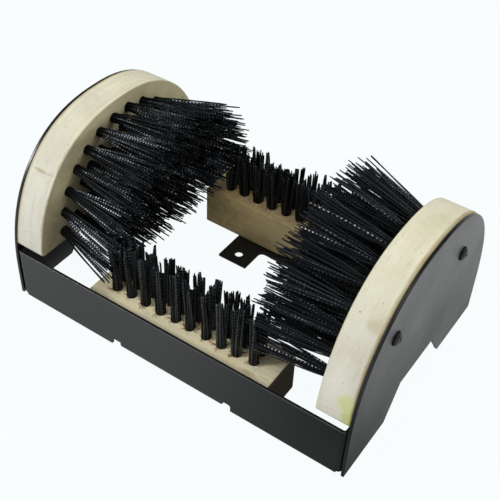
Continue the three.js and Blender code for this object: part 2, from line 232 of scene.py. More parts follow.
def buildLight():
    world = bpy.data.worlds.new("surround")
    scene.world = world
    tree = clearedTree(world)
    fromCamera, mirrored = raysOf(tree)
    height = axes(addNode(tree, "ShaderNodeTexCoord").outputs["Generated"])[2]
    shown = remap(height, *light["darkens"], light["horizon"], light["ceiling"], smooth=True)
    strength = mixValue(mirrored, light["ambient"], shown)
    strength = mixValue(fromCamera, strength, light["backdrop"])
    color = mixColor(fromCamera, (1, 1, 1, 1), light["backdropColor"])
    back = shade("Background", {"Color": color, "Strength": strength})
    fedNode("ShaderNodeOutputWorld", {0: back})
    for box in light["boxes"]:
        lamp = bpy.data.lights.new(box["name"], "AREA")
        lamp.shape = "SQUARE"
        lamp.size = box["size"]
        lamp.energy = box["power"]
        lamp.color = box["tint"]
        holder = bpy.data.objects.new(box["name"], lamp)
        holder.location = box["place"]
        toAim = Vector(light["aim"]) - Vector(box["place"])
        holder.rotation_euler = toAim.to_track_quat("-Z", "Y").to_euler()
        scene.collection.objects.link(holder)


floorLook = {
    "half": 4.0,
    "drop": 0.2 * mm,
    "color": (0.600, 0.622, 0.628, 1),
    "white": (0.958, 0.995, 1.0, 1),
    "whiteSeen": 0.96,        # share of plain white that the camera sees, the rest is lit floor
    "whiteMirrored": 0.38,    # and that reflections see
    "rightFrom": (0.13, 0.155),      # x over which the change to the right sets in
    "rightBand": (-0.08, 0.22),      # y over which it goes from the one shift to the other
    "rightShift": (-0.22, 0.14),
    "rightReach": (0.165, 0.22),     # x over which the gain is added
    "rightGain": 0.56,
    "shadowPlace": (0.15, -0.19, 0.0),  # middle of the painted shadow at the front right
    "shadowReach": (0.20, 0.03),
    "shadowShare": 0.85,
    "underShadowHalf": (0.146, 0.094),     # half sizes of the painted shadow under the frame
    "underShadowSoft": 0.01,
    "underShadowShare": 0.75,
}


def buildFloor():
    half = floorLook["half"]
    corners = [(x * half, y * half, -floorLook["drop"]) for x, y in ((-1, -1), (1, -1), (1, 1), (-1, 1))]
    mesh = bpy.data.meshes.new("floor")
    mesh.from_pydata(corners, [], [(0, 1, 2, 3)])
    material = bpy.data.materials.new("paleFloor")
    tree = clearedTree(material)
    fromCamera, mirrored = raysOf(tree)
    place = addNode(tree, "ShaderNodeTexCoord").outputs["Object"]
    apart = axes(place)

    # Reflections see painted light and shade on it: a change of brightness beyond the right end plate, and
    # painted shadow at the front right and underneath
    backward = remap(apart[1], *floorLook["rightBand"], *floorLook["rightShift"])
    outward = remap(apart[0], *floorLook["rightReach"], 0.0, floorLook["rightGain"])
    change = calc("ADD", backward, outward)
    share = linear(remap(apart[0], *floorLook["rightFrom"]), change, floorLook["whiteMirrored"])
    share = linear(fromCamera, floorLook["whiteSeen"], product(share, mirrored))
    away = vecCalc("DISTANCE", place, floorLook["shadowPlace"])
    dim = remap(away, *floorLook["shadowReach"], 0.0, floorLook["shadowShare"], smooth=True)
    under = [remap(calc("ABSOLUTE", apart[axis]), edge, edge - floorLook["underShadowSoft"])
             for axis, edge in enumerate(floorLook["underShadowHalf"])]
    dim = calc("MAXIMUM", dim, product(*under, floorLook["underShadowShare"]))
    lit = calc("SUBTRACT", 1.0, product(dim, mirrored))
    color = mixColor(lit, (0, 0, 0, 1), floorLook["color"])
    matt = shade("BsdfDiffuse", {"Color": color})
    white = addNode(tree, "ShaderNodeEmission", {"Color": floorLook["white"], "Strength": 1.0}).outputs[0]
    both = shade("MixShader", {0: product(share, lit), 1: matt, 2: white})
    fedNode("ShaderNodeOutputMaterial", {0: both})
    newPiece("floor", mesh, material)


buildLight()
buildFloor()
print("camera, light and floor ready")


# Steel frame: the sheets of the CAD with softened edges and a powder coat

steel = {
    "color": (0.0042, 0.0050, 0.0056, 1),
    "worn": (0.0120, 0.0128, 0.0138, 1),
    "dust": (0.20, 0.19, 0.17, 1),
    "dustShare": 0.35,
    "rubbed": (0.010, 0.011, 0.012, 1),
    # A painted highlight along the rails' front top edge: its colour, and the heights and |y| over which it
    # lies
    "railEdgeHighlight": (0.072, 0.075, 0.078, 1),
    "railTop": (42.0 * mm, 45.0 * mm),
    "railFace": (98.7 * mm, 99.2 * mm),
    "bare": (0.62, 0.63, 0.64, 1),
    "roughness": (0.30, 0.42),
    "peelSize": 1.4 * mm,
    "peelHeight": 0.012 * mm,
    "edge": 0.55 * mm,
    "edgeAngle": 35,
    # Middles and sizes in mm
    "chips": [((-149.5, -52.0, 134.6), 0.9), ((-149.5, -78.5, 110.0), 0.6), ((150.2, 61.0, 128.5), 0.7)],
}
steelNoise = {                # scale, detail and roughness
    "broad": (16.0, 3.0),
    "fine": (420.0, 3.0, 0.6),
    "specks": (610.0, 1.0),
    "patches": (60.0, 4.0, 0.7),
    "nicks": (170.0, 3.0, 0.7),
}


def powderCoat(name, edgeWearAndHighlight=0.0, highlightShare=0.0):
    material, shader, place = startMaterial(name, 0.5)
    broad = noise(place, *steelNoise["broad"])
    fine = noise(place, *steelNoise["fine"])
    peel = noise(place, 1.0 / steel["peelSize"])
    specks = remap(noise(place, *steelNoise["specks"]), 0.755, 0.80)
    rubbed = remap(product(broad, fine), 0.22, 0.42)
    color = mixColor(rubbed, steel["color"], steel["worn"])
    color = paint(color, steel["dust"], specks, steel["dustShare"])
    if edgeWearAndHighlight:
        patchy = remap(noise(place, *steelNoise["patches"]), 0.35, 0.65, 0.3, 1.0)
        # On the rails the front top edge gets a painted highlight, the other edges a rubbed coat
        apart = axes(place)
        onTop = remap(apart[2], *steel["railTop"], 0.0, highlightShare)
        onFace = remap(calc("ABSOLUTE", apart[1]), *steel["railFace"])
        edgeTone = mixColor(product(onTop, onFace), steel["rubbed"], steel["railEdgeHighlight"])
        color = paint(color, edgeTone, patchy, edgeWearAndHighlight)
        nicks = remap(noise(place, *steelNoise["nicks"]), 0.70, 0.74)
        color = paint(color, steel["bare"], nicks, edgeWearAndHighlight)
    for spot, size in steel["chips"]:
        away = vecCalc("DISTANCE", place, [value * mm for value in spot])
        away = calc("ADD", away, remap(fine, 0.3, 0.7, -0.4 * mm, 0.4 * mm))
        color = paint(color, steel["bare"], remap(away, size * mm, size * 0.7 * mm))
    roughness = remap(broad, 0.3, 0.7, *steel["roughness"])
    roughness = calc("ADD", roughness, remap(fine, 0.3, 0.7, -0.03, 0.03))
    feed(shader, color, roughness, bump(peel, steel["peelHeight"]))
    return material


def steelPiece(name, node, edgeCoat):
    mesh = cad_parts[node].data.copy()
    work = bmesh.new()
    work.from_mesh(mesh)
    bmesh.ops.remove_doubles(work, verts=work.verts, dist=0.001 * mm)
    bmesh.ops.dissolve_limit(work, angle_limit=math.radians(0.6), verts=work.verts, edges=work.edges)
    work.to_mesh(mesh)
    work.free()
    mesh.name = name
    smoothFaces(mesh)
    piece = newPiece(name, mesh, coat)
    mesh.materials.append(edgeCoat)
    soft = piece.modifiers.new("softEdges", "BEVEL")
    soft.material = 1         # the edge coat: rubbed, and a painted highlight on the rails' front top edge
    soft.width = steel["edge"]
    soft.segments = 3
    soft.use_clamp_overlap = False
    soft.limit_method = "ANGLE"
    soft.angle_limit = math.radians(steel["edgeAngle"])
    soft.harden_normals = True
    finishPiece(piece, "black_steel", node)


coat = powderCoat("blackPowderCoat")
plateEdge = powderCoat("rubbedPlateEdge", 0.8)
railEdge = powderCoat("railEdgeWearAndHighlight", 0.9, 1.0)
steelPiece("leftPlate", "left_end_plate", plateEdge)
steelPiece("rightPlate", "right_end_plate", plateEdge)
steelPiece("frontRail", "front_rail", railEdge)
steelPiece("rearRail", "rear_rail", railEdge)
print("steel frame ready")


# Places of the tufts in mm, shared by the drilled wood and the bristles

block = {
    "face": 121.3, "back": 147.3, "bottom": 51.0, "corner": 3.5, "rise": 118.0,
    "halfDepth": 100.0, "spring": 26.0, "fullness": 2.33,
    "frontRound": 0.9, "backRound": 1.4, "archSteps": 120, "roundSteps": 4, "cornerSteps": 6,
    "screwHeight": 99.0, "screwPlaces": (-52.5, 46.5), "pilot": 2.6, "pilotDepth": 19.0,
}
sideTufts = {
    "reach": 64.0, "lift": 7.0, "topInset": 13.0, "edgeInset": 24.9, "rowPitch": 14.0, "top": 144.0,
    "rows": [(17.1, 3.0, 11.0), (13.8, 9.7, 9.0), (13.4, 5.0, 6.0), (13.7, 14.0, 4.0),
             (16.2, 8.0, 2.0), (16.2, 90.0, 0.0)],  # pitch, first angle and fan
    "uneven": 0.5, "seed": 4,
}
lowBlock = {
    "length": 162.0, "width": 40.0, "base": 2.7, "height": 36.0, "centre": -76.0,
    "soft": 1.1, "screws": (-30.0, 30.0), "pilot": 2.45, "pilotDepth": 27.0,
}
lowTufts = {
    "reach": 43.0, "pitch": 13.8, "count": 10, "rows": (-3.5, 7.2), "shift": -2.0,
    "uneven": 0.5, "seed": 9,
}


def archHalfWidth(height):
    share = min(max((height - block["spring"]) / block["rise"], 0.0), 1.0)
    return block["halfDepth"] * (1 - share ** block["fullness"]) ** (1 / block["fullness"])


def sideTuftPlaces(frontLean=1.0, rearLean=1.0, lift=0.0, shorter=0.0):
    # The root, direction and length of each tuft of the right-hand brush. The leans widen or narrow its
    # fan at the front and rear, and lift raises the low tufts of the outer row and lowers the others
    places = []
    chance = random.Random(sideTufts["seed"])
    centreHeight = block["bottom"] + sideTufts["lift"]
    up = sideTufts["top"] - centreHeight - sideTufts["topInset"]
    out = archHalfWidth(centreHeight) - sideTufts["edgeInset"]
    for row, (pitch, firstAngle, fan) in enumerate(sideTufts["rows"]):
        high = up - row * sideTufts["rowPitch"]
        wide = out - row * sideTufts["rowPitch"]
        sweep = math.pi - 2 * math.radians(firstAngle)
        steps = round(sweep * (high + wide) / 2 / pitch)
        for i in range(steps + 1):
            angle = (math.pi - sweep) / 2 + (sweep * i / steps if steps else 0)
            forward, upward = math.cos(angle), math.sin(angle)
            root = Vector((block["face"], -wide * forward, centreHeight + high * upward))
            root.y += chance.uniform(-1, 1) * sideTufts["uneven"]
            root.z += chance.uniform(-1, 1) * sideTufts["uneven"]
            share = frontLean + (1 - frontLean) * upward
            if forward < 0:
                share = 1.0 - (rearLean - 1) * forward
            lean = Vector((0, -forward, upward)) * math.tan(math.radians(fan * share))
            lean.z += (lift if row == 0 else -lift) * (1 - upward)
            reach = sideTufts["reach"] / math.cos(math.radians(fan)) - shorter
            places.append((root, (Vector((-1, 0, 0)) + lean).normalized(), reach))
    return places


def lowTuftPlaces(shift, shorter=0.0, slant=0.0):
    # The same for the front brush, where slant makes the tufts shorter towards +X
    places = []
    chance = random.Random(lowTufts["seed"])
    top = lowBlock["base"] + lowBlock["height"]
    count = lowTufts["count"]
    for offset in lowTufts["rows"]:
        for i in range(count):
            x = (i - (count - 1) / 2) * lowTufts["pitch"] + shift
            x += chance.uniform(-1, 1) * lowTufts["uneven"]
            y = lowBlock["centre"] + offset + chance.uniform(-1, 1) * lowTufts["uneven"]
            reach = lowTufts["reach"] - shorter - slant * x
            places.append((Vector((x, y, top)), Vector((0, 0, 1)), reach))
    return places


def turned(places, degrees):
    about = Matrix.Rotation(math.radians(degrees), 3, "Z")
    return [(about @ root, aim, reach) for root, aim, reach in places]


# Wood

wood = {
    "pale": (0.735, 0.712, 0.612, 1),
    "crown": (0.755, 0.740, 0.570, 1),
    "cool": (0.62, 0.64, 0.49, 1),
    "warm": (0.78, 0.71, 0.58, 1),
    "inner": (0.47, 0.425, 0.255, 1),
    # Painted light: the bottom blocks' tones are brighter than plain wood to lift the shade on them, the
    # rear one also browner as wood looks in shade
    "low": (0.95, 0.865, 0.575, 1),
    "rear": (0.91, 0.705, 0.340, 1),
    "line": (0.37, 0.275, 0.135, 1),
    "mottle": (0.60, 0.51, 0.31, 1),
    "speck": (0.14, 0.085, 0.04, 1),
    "sawnEndShade": (0.085, 0.060, 0.036, 1),
    # Painted shade along the crease next to the end plate: its colour, band and share
    "rim": (0.33, 0.245, 0.095, 1),
    "bandShare": 0.6,
    "mottleShare": 0.32,
    "dotShare": 0.55,
    "poreShare": 0.35,
    "crownBand": (105 * mm, 142 * mm),
    "innerBand": (122.3 * mm, 121.5 * mm),
    "creaseShadeBand": (144.2 * mm, 146.4 * mm),
    "creaseShadeShare": 0.85,
    "endShare": 0.95,
    "sideGrain": (2.2, 0.05, 0.10),  # how the grain is squeezed along each axis
    "lowGrain": (0.05, 1.0, 1.8),
    "fibreBump": 0.05 * mm,
    "holeRadius": 4.1,
    "holeDepth": 5.0,
    "holeSides": 20,
}
woodNoise = {                 # scale, detail, roughness and distortion
    "fibres": (520.0, 4.0, 0.65),
    "rings": (95.0, 2.0, 0.5, 0.3),
    "pores": (900.0, 1.0),
    "mottle": (42.0, 5.0, 0.65),
    "drift": (17.0, 4.0, 0.6),
    "grain": (1300.0, 3.0, 0.7),
    "dots": (430.0, 1.0),
    "endGrain": (700.0, 3.0, 0.7),
    "rimEdge": (60.0, 3.0),
    "patchEdge": 190.0,
}

# Each patch has a middle and half sizes in mm, a strength and a colour; some are stains, some painted shade
# and some painted light, as marked
leftStainsShadeAndLight = [
    # A brown blemish on the edge, in two parts
    ((-137.0, -74.4, 113.3), (8.0, 3.0, 1.7), 0.80, (0.40, 0.28, 0.13, 1)),
    ((-127.0, -74.2, 113.4), (5.5, 3.0, 1.1), 0.55, (0.45, 0.33, 0.17, 1)),
    # A small dark spot on the inner face
    ((-121.3, -26.4, 139.5), (3.0, 1.9, 1.5), 0.85, (0.13, 0.08, 0.03, 1)),
    # Painted light: a paler band high on the inner face
    ((-121.3, -30.0, 137.0), (3.0, 60.0, 14.0), 0.62, (0.62, 0.58, 0.37, 1)),
    # Painted shadow on the inner face: between the roots of the top tufts, and lower down at the front
    ((-121.3, -28.0, 127.5), (3.0, 42.0, 9.5), 0.55, (0.27, 0.235, 0.13, 1)),
    ((-121.3, -64.0, 122.0), (3.0, 26.0, 24.0), 0.50, (0.27, 0.235, 0.13, 1)),
    ((-121.3, -90.0, 80.0), (3.0, 21.0, 46.0), 0.68, (0.27, 0.235, 0.13, 1)),
    # Greyer, darker patches over the upper front edge and the crown
    ((-134.0, -62.0, 130.0), (18.0, 44.0, 30.0), 0.38, (0.50, 0.48, 0.41, 1)),
    ((-134.0, -22.0, 147.0), (18.0, 30.0, 12.0), 0.42, (0.50, 0.48, 0.41, 1)),
]
rightStains = [
    # A paler patch over the front of the block
    ((133.0, -95.0, 80.0), (16.0, 16.0, 38.0), 0.50, (0.86, 0.83, 0.72, 1)),
    # Yellow-green stains low on the front edge
    ((141.5, -97.0, 69.5), (9.0, 9.0, 13.0), 0.75, (0.64, 0.69, 0.24, 1)),
    ((145.0, -98.5, 57.0), (8.5, 9.0, 10.0), 0.80, (0.56, 0.60, 0.18, 1)),
    # Darker olive patches on the crown and the upper front edge
    ((139.0, 20.0, 148.0), (20.0, 34.0, 12.0), 0.50, (0.50, 0.50, 0.30, 1)),
    ((142.5, -70.0, 121.0), (10.0, 9.0, 9.0), 0.62, (0.50, 0.44, 0.29, 1)),
]
frontStainsAndShade = [
    # Painted shadow over the left end of the top
    ((-82.0, -84.0, 38.0), (22.0, 16.0, 9.0), 0.40, (0.50, 0.43, 0.27, 1)),
    # A small brown patch on the top
    ((62.0, -89.5, 38.0), (10.0, 3.0, 4.0), 0.45, (0.44, 0.32, 0.16, 1)),
]
rearStainsAndShade = [
    # Painted shade along the top and its front edge, so the top reads no lighter than the face
    ((-5.0, 60.0, 41.0), (130.0, 19.0, 4.5), 0.72, (0.30, 0.225, 0.105, 1)),
    # Painted shadow over the left part of the face
    ((-78.0, 52.0, 26.0), (54.0, 10.0, 32.0), 0.74, (0.34, 0.265, 0.12, 1)),
    # A small darker patch low on the face
    ((-18.0, 56.0, 12.0), (14.0, 5.0, 7.0), 0.30, (0.40, 0.31, 0.15, 1)),
]


def woodTone(place, kind):
    # The plain colour under the grain: paler on a side block's edge, and painted darker and browner on its
    # inner face as the shade that lies there
    if kind != "side":
        return wood[kind]
    apart = axes(place)
    across = calc("ABSOLUTE", apart[0])
    tone = mixColor(remap(apart[2], *wood["crownBand"]), wood["pale"], wood["crown"])
    tone = paint(tone, wood["inner"], remap(across, *wood["innerBand"]))
    # Painted shade: a dark band with a ragged edge in the crease next to the end plate
    ragged = remap(noise(place, *woodNoise["rimEdge"]), 0.3, 0.7, -0.3 * mm, 0.3 * mm)
    rim = remap(calc("ADD", across, ragged), *wood["creaseShadeBand"], smooth=True)
    return paint(tone, wood["rim"], rim, wood["creaseShadeShare"])


def brushWood(name, kind, stainsAndShade, lineShare):
    material, shader, place = startMaterial(name, 0.35)
    squeeze = wood["sideGrain" if kind == "side" else "lowGrain"]
    long = shade("Mapping", {"Vector": place, "Scale": squeeze})
    fibres = noise(long, *woodNoise["fibres"])
    bands = remap(noise(long, *woodNoise["rings"]), 0.42, 0.62, smooth=True)
    pores = remap(noise(long, *woodNoise["pores"]), 0.70, 0.76)
    lines = remap(fibres, 0.50, 0.68)
    mottle = remap(noise(place, *woodNoise["mottle"]), 0.42, 0.70)
    drift = noise(place, *woodNoise["drift"])
    dots = remap(noise(place, *woodNoise["dots"]), 0.745, 0.785)
    color = woodTone(place, kind)
    color = paint(color, wood["cool"], remap(drift, 0.50, 0.34, 0.0, 0.30))
    color = paint(color, wood["warm"], remap(drift, 0.52, 0.66, 0.0, 0.30))
    color = paint(color, wood["line"], bands, lineShare * wood["bandShare"])
    color = paint(color, wood["line"], lines, lineShare)
    color = paint(color, wood["mottle"], mottle, wood["mottleShare"])
    grain = remap(noise(place, *woodNoise["grain"]), 0.3, 0.75, 0.90, 1.06)
    color = vecScale(color, grain)
    color = paint(color, wood["speck"], dots, wood["dotShare"])
    color = paint(color, wood["speck"], pores, wood["poreShare"])
    ragged = vecScale(noiseVector(place, woodNoise["patchEdge"], Detail=2.0), 0.8)
    # The stains, and the painted shade and light, each pull the colour towards their own
    for middle, size, strength, patchColor in stainsAndShade:
        away = vecCalc("SUBTRACT", place, [value * mm for value in middle])
        away = vecCalc("DIVIDE", away, [value * mm for value in size])
        away = vecCalc("LENGTH", vecCalc("ADD", away, ragged))
        color = paint(color, patchColor, remap(away, 1.0, 0.25, smooth=True), strength)
    if kind != "side":
        # The sawn ends, where the fibres stop: dark end grain, painted darker still as the shade that lies
        # on them
        side = axes(addNode(material.node_tree, "ShaderNodeNewGeometry").outputs["Normal"])[0]
        rough = remap(noise(place, *woodNoise["endGrain"]), 0.45, 0.8, 0.0, 0.5)
        sawn = mixColor(rough, wood["sawnEndShade"], wood["mottle"])
        color = paint(color, sawn, remap(calc("ABSOLUTE", side), 0.6, 0.9), wood["endShare"])
    height = calc("ADD", fibres, product(pores, -0.6))
    feed(shader, color, remap(fibres, 0.3, 0.7, 0.55, 0.72), bump(height, wood["fibreBump"]))
    return material


def loopedSolid(loops):
    # Loops of the same number of points, joined in order and closed with a face at each end
    work = bmesh.new()
    rings = [[work.verts.new(point) for point in loop] for loop in loops]
    for lower, upper in zip(rings, rings[1:]):
        for i in range(len(lower)):
            j = (i + 1) % len(lower)
            work.faces.new((lower[i], lower[j], upper[j], upper[i]))
    work.faces.new(rings[0][::-1])
    work.faces.new(rings[-1])
    bmesh.ops.recalc_face_normals(work, faces=work.faces)
    return work


def blockOutline(inset):
    # The block's D, as (y, z), moved inwards
    corner, steps = block["corner"], block["cornerSteps"]
    cornerTop = block["bottom"] + corner
    power = 2 / block["fullness"]
    first = math.asin(((cornerTop - block["spring"]) / block["rise"]) ** (1 / power))
    outline = []
    for i in range(block["archSteps"] + 1):
        angle = first + (math.pi - 2 * first) * i / block["archSteps"]
        across = math.cos(angle)
        y = math.copysign(block["halfDepth"] * abs(across) ** power, across)
        outline.append(Vector((y, block["spring"] + block["rise"] * math.sin(angle) ** power)))
    start = outline[0].x - corner
    arc = [math.pi / 2 * i / steps for i in range(1, steps + 1)]
    for end, angles in ((-1, arc), (1, arc[::-1])):
        for angle in angles:
            y = end * (start + corner * math.cos(angle))
            outline.append(Vector((y, cornerTop - corner * math.sin(angle))))
    moved = []
    for i, point in enumerate(outline):
        along = (outline[(i + 1) % len(outline)] - outline[i - 1]).normalized()
        moved.append(point + Vector((-along.y, along.x)) * inset)
    return moved


def drilled(name, work, *drillings):
    # Cuts holes, which start 1 mm outside the wood, out of a block and returns its mesh
    drills = bmesh.new()
    for places, axis, radius, depth in drillings:
        turn = Vector((0, 0, 1)).rotation_difference(axis).to_matrix().to_4x4()
        length = (depth + 1) * mm
        for place in places:
            matrix = Matrix.Translation((place - axis) * mm + axis * (length / 2)) @ turn
            bmesh.ops.create_cone(drills, cap_ends=True, segments=wood["holeSides"], radius1=radius * mm,
                                  radius2=radius * mm, depth=length, matrix=matrix)
    parts = []
    for part, kind in ((work, "Whole"), (drills, "Drills")):
        mesh = bpy.data.meshes.new(name + kind)
        part.to_mesh(mesh)
        part.free()
        parts.append(newPiece(name + kind, mesh))
    cut = parts[0].modifiers.new("drill", "BOOLEAN")
    cut.operation = "DIFFERENCE"
    cut.solver = "EXACT"
    cut.object = parts[1]
    result = applied(parts[0])
    result.name = name
    for helper in parts:
        bpy.data.objects.remove(helper)
    return result


def sideBlock(name, flip, material, node):
    quarter = [math.pi / 2 * i / block["roundSteps"] for i in range(block["roundSteps"] + 1)]
    front, back = block["frontRound"], block["backRound"]
    sections = [(block["face"] + front * (1 - math.cos(a)), front * (1 - math.sin(a))) for a in quarter]
    sections += [(block["back"] - back * (1 - math.sin(a)), back * (1 - math.cos(a))) for a in quarter]
    loops = [[Vector((depth, p.x, p.y)) * mm for p in blockOutline(inset)] for depth, inset in sections]
    roots = [root for root, aim, reach in sideTuftPlaces()]
    screwHoles = [Vector((block["back"], y, block["screwHeight"])) for y in block["screwPlaces"]]
    mesh = drilled(name, loopedSolid(loops),
                   (roots, Vector((1, 0, 0)), wood["holeRadius"], wood["holeDepth"]),
                   (screwHoles, Vector((-1, 0, 0)), block["pilot"], block["pilotDepth"]))
    if flip < 0:
        mesh.transform(Matrix.Scale(-1, 4, (1, 0, 0)))
        mesh.flip_normals()
    smoothFaces(mesh)
    finishPiece(newPiece(name, mesh, material), "pale_wood", node)


def bottomBlock(name, turn, shift, material, node):
    work = bmesh.new()
    bmesh.ops.create_cube(work, size=1.0)
    size = (lowBlock["length"] * mm, lowBlock["width"] * mm, lowBlock["height"] * mm)
    middle = Vector((0, lowBlock["centre"], lowBlock["base"] + lowBlock["height"] / 2)) * mm
    bmesh.ops.scale(work, vec=size, verts=work.verts)
    bmesh.ops.translate(work, vec=middle, verts=work.verts)
    bmesh.ops.bevel(work, geom=work.edges[:], offset=lowBlock["soft"] * mm, segments=3,
                    affect="EDGES", profile=0.5)
    roots = [root for root, aim, reach in lowTuftPlaces(shift)]
    screwHoles = [Vector((x, lowBlock["centre"], lowBlock["base"])) for x in lowBlock["screws"]]
    mesh = drilled(name, work, (roots, Vector((0, 0, -1)), wood["holeRadius"], wood["holeDepth"]),
                   (screwHoles, Vector((0, 0, 1)), lowBlock["pilot"], lowBlock["pilotDepth"]))
    mesh.transform(Matrix.Rotation(math.radians(turn), 4, "Z"))
    smoothFaces(mesh)
    finishPiece(newPiece(name, mesh, material), "pale_wood", node)


for name, flip, stainsAndShade, lineShare in (("left", -1, leftStainsShadeAndLight, 0.20), ("right", 1, rightStains, 0.11)):
    look = brushWood(name + "BlockWood", "side", stainsAndShade, lineShare)
    sideBlock(name + "Block", flip, look, name + "_brush_block")
for name, turn, shift, kind, stainsAndShade, lineShare in (
        ("front", 0, lowTufts["shift"], "low", frontStainsAndShade, 0.20),
        ("rear", 180, -lowTufts["shift"], "rear", rearStainsAndShade, 0.22)):
    look = brushWood(name + "BlockWood", kind, stainsAndShade, lineShare)
    bottomBlock(name + "Block", turn, shift, look, name + "_brush_block")
print("wooden blocks ready")


# Bristles

bristle = {
    "color": (0.0013, 0.0016, 0.0022, 1),
    "paler": (0.0046, 0.0060, 0.0080, 1),
    "sheenStreak": (0.050, 0.057, 0.064, 1),
    "crestGlint": (0.520, 0.585, 0.650, 1),
    "fade": (44.0, 70.0),     # mm along a bristle over which the painted glints die out
    "glintWhite": (0.93, 0.96, 1.0, 1),
    "roughness": (0.42, 0.16),
    "crimp": 3.1,             # mm from wave to wave
    "crimpTilt": 0.40,
    "collar": (9.0, 15.0),    # mm along a bristle over which the crimp begins
    "patches": (85.0, 1.0),
    "broken": (290.0, 1.0),
    # Metres along the axes over which a region of stronger painted glints and sheen begins
    "left": (-0.01, -0.03),
    "lowLeft": {2: (0.135, 0.105), 0: (-0.02, -0.05)},
    "lowRight": {2: (0.085, 0.060), 0: (0.06, 0.08), 1: (-0.03, -0.06)},
}
sideShape = {
    "Filaments": 21, "Filament radius": 0.68 * mm, "Root radius": 3.6 * mm, "Root depth": 4.0 * mm,
    "Collar": 6.0 * mm, "Tip spread": 10.4 * mm, "Spread power": 0.86, "Wander": 6.0 * mm,
    "Sag": 5.0 * mm, "Uneven": 4.0 * mm, "Bends": 12, "Clumps": 7, "Gather": 0.25, "Own way": 3.0,
    "Strays": 1.4, "Shine": 1.0, "Seed": 5,
}
rightShape = dict(sideShape, **{
    "Tip spread": 9.8 * mm, "Spread power": 0.68, "Clumps": 6, "Gather": 0.45, "Strays": 0.9,
    "Shine": 0.22, "Seed": 8,
})
lowShape = {
    "Filaments": 21, "Filament radius": 0.74 * mm, "Root radius": 3.8 * mm, "Root depth": 4.0 * mm,
    "Collar": 11.0 * mm, "Tip spread": 4.9 * mm, "Spread power": 1.2, "Wander": 4.0 * mm, "Sag": 0.0,
    "Uneven": 4.5 * mm, "Bends": 10, "Clumps": 4, "Gather": 0.75, "Own way": 0.6,
    "Strays": 1.0, "Shine": 0.15, "Seed": 11,
}
rearShape = dict(lowShape, **{
    "Root radius": 4.0 * mm, "Collar": 3.0 * mm, "Tip spread": 6.6 * mm, "Spread power": 0.6,
    "Uneven": 6.0 * mm, "Shine": 0.08, "Seed": 14,
})

# How each brush departs from the plain places of its tufts
leftWays = {"frontLean": 1.1, "shorter": 3.6}
rightWays = {"frontLean": 0.28, "rearLean": 1.4, "lift": 0.07, "shorter": 1.5}
rearWays = {"shorter": 4.8, "slant": 0.035}


def blackBristle():
    material, shader, place = startMaterial("blackBristle", 0.20)
    shader.inputs["Specular Tint"].default_value = (0.82, 0.92, 1.0, 1)
    tree = material.node_tree
    tone, along, shine = (addNode(tree, "ShaderNodeAttribute", attribute_name=name).outputs["Fac"]
                          for name in ("tone", "along", "shine"))
    aim = addNode(tree, "ShaderNodeAttribute", attribute_name="aim").outputs["Vector"]
    side = addNode(tree, "ShaderNodeNewGeometry").outputs["Normal"]
    loose = remap(shine, 0.15, 0.20)  # 1 in the side brushes and 0 in the bottom ones

    # The crimp: a wave along each bristle, at its own pace in the side brushes, that tilts the light
    pace = remap(calc("FRACT", product(tone, 3.7)), 0.0, 1.0, -0.05, 0.30)
    pace = linear(pace, loose, 1.0)
    phase = product(tone, remap(loose, 0.0, 1.0, 3.0, 40.0))
    turn = linear(product(along, pace), 2 * math.pi / bristle["crimp"], phase)
    lively = calc("FRACT", product(tone, 7.3))
    begun = remap(along, *bristle["collar"], smooth=True)
    depth = product(linear(lively, 0.7, 0.3), begun)
    wave = linear(calc("COSINE", turn), 0.5, 0.5)
    peak = calc("POWER", wave, 2.0)
    slope = product(depth, bristle["crimpTilt"], calc("SUBTRACT", 1.0, wave))
    waved = vecCalc("NORMALIZE", vecCalc("SUBTRACT", side, vecScale(aim, slope)))

    # Painted sheen: pale streaks, mostly low on the left
    spot = axes(place)
    onLeft = remap(spot[0], *bristle["left"])
    lowLeft, lowRight = (
        product(*[remap(spot[axis], *band) for axis, band in bristle[corner].items()], loose)
        for corner in ("lowLeft", "lowRight"))
    color = mixColor(tone, bristle["color"], bristle["paler"])
    sheenStreaks = linear(lowLeft, 0.5, remap(shine, 0.30, 0.10))
    color = paint(color, bristle["sheenStreak"], sheenStreaks, calc("POWER", tone, 1.7))

    # Painted glints: dotted pale colour on the crests, in patches that die out towards the tips
    patches = remap(noise(place, *bristle["patches"]), 0.38, 0.58, 0.40, 1.0)
    broken = remap(noise(place, *bristle["broken"]), 0.40, 0.60, 0.25, 1.0)
    patches = product(patches, broken)
    fading = remap(along, *bristle["fade"], 1.0, 0.15, smooth=True)
    dotted = product(remap(lively, 0.55, 0.97), begun)
    crestGlint = product(peak, dotted, patches, fading, linear(lowLeft, 1.3, 0.75))
    crestGlint = linear(product(crestGlint, onLeft), 0.12, crestGlint)
    color = paint(color, bristle["crestGlint"], crestGlint, remap(shine, 0.0, 0.6))
    # Fainter painted glints on the crests in the bottom brushes
    color = paint(color, bristle["crestGlint"], peak, lively, calc("SUBTRACT", 1.0, loose),
                  remap(shine, 0.05, 0.15, 0.02, 0.10))

    # Painted highlight: a few bristles painted near white along most of their length, as if they catch the
    # light
    chosen = linear(onLeft, 0.014, lively)
    chosen = linear(lowRight, 0.05, chosen)
    picked = remap(chosen, 0.984, 0.989)
    steady = calc("MAXIMUM", patches, product(onLeft, fading))
    color = paint(color, bristle["glintWhite"], picked, loose, begun, steady, calc("POWER", wave, 2.5))
    feed(shader, color, remap(depth, 0.0, 1.0, *bristle["roughness"]), waved)
    return material


def treeSockets(tree, whole, sizes):
    # The named inputs of a tree: whole numbers, sizes and the material
    def socket(name, kind, way="INPUT"):
        tree.interface.new_socket(name=name, in_out=way, socket_type="NodeSocket" + kind)
    socket("Geometry", "Geometry", "OUTPUT")
    socket("Geometry", "Geometry")
    for name in whole:
        socket(name, "Int")
    for name in sizes:
        socket(name, "Float")
    socket("Material", "Material")
    return addNode(tree, "NodeGroupInput").outputs


